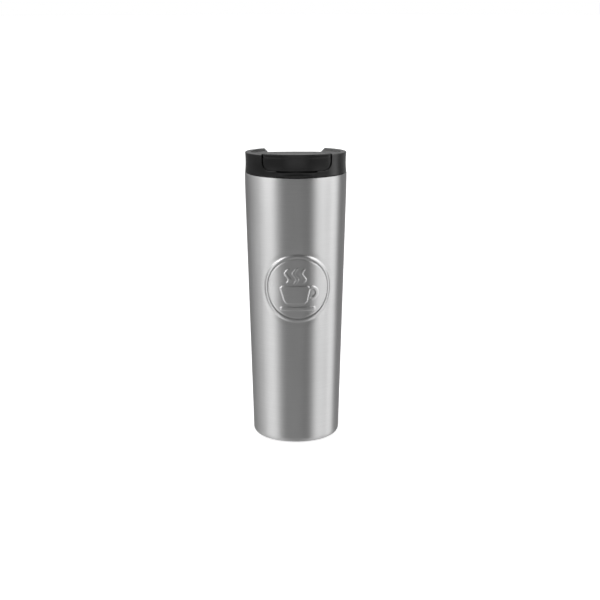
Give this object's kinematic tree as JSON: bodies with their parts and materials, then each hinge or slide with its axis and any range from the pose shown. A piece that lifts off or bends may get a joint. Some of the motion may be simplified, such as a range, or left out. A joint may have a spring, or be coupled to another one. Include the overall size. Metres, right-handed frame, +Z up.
{
  "type": "insulated travel mug",
  "caption": "Tapered double-walled steel travel mug with a round embossed emblem and a black screw lid whose flip lever opens the drinking hole.",
  "frame": {"origin": "centre of the foot, on the plane that the mug stands on", "axes": "+Z up along the mug's axis; -Y towards the drinking side and the emblem; the hinge of the lever is on the +Y side"},
  "size_m": [0.073, 0.073, 0.211],
  "materials": {
    "shell_steel": "fine circumferential brushing, satin",
    "liner_steel": "electropolished",
    "foil": "bright foil",
    "seal_glass": "fused, dark",
    "getter_metal": "sintered, matt",
    "lid_plastic": "fine moulded grain, satin",
    "lever_plastic": "fine moulded grain, satin",
    "silicone": "soft, matt"
  },
  "bodies": {
    "mug": {"outer_shell": "shell_steel", "inner_liner": "liner_steel", "radiation_foil": "foil", "outer_base": "liner_steel", "base_cover": "shell_steel", "seal_bead": "seal_glass", "getter": "getter_metal", "getter_strap": "liner_steel"},
    "lid_carrier": {"lid_gasket": "silicone"},
    "lid": {"lid_collar": "lid_plastic", "lid_base": "lid_plastic", "lid_insert": "lid_plastic", "hinge_pin": "liner_steel"},
    "lever": {"flip_lever": "lever_plastic", "sip_stopper": "silicone", "vent_stopper": "silicone"}
  },
  "joints": [
    {"name": "lid_lift", "type": "slide", "parent": "mug", "child": "lid_carrier", "axis": [0, 0, 1], "range_m": [0, 0.018]},
    {"name": "lid_twist", "type": "hinge", "parent": "lid_carrier", "child": "lid", "pos_m": [0, 0, 0.195], "axis": [0, 0, 1], "range_deg": [0, 540]},
    {"name": "lever_flip", "type": "hinge", "parent": "lid", "child": "lever", "pos_m": [0, 0.017, 0.203], "axis": [-1, 0, 0], "range_deg": [0, 95]}
  ],
  "couplings": [
    {"joint": "lid_lift", "follows": "lid_twist", "m_per_rad": 0.0019099}
  ]
}
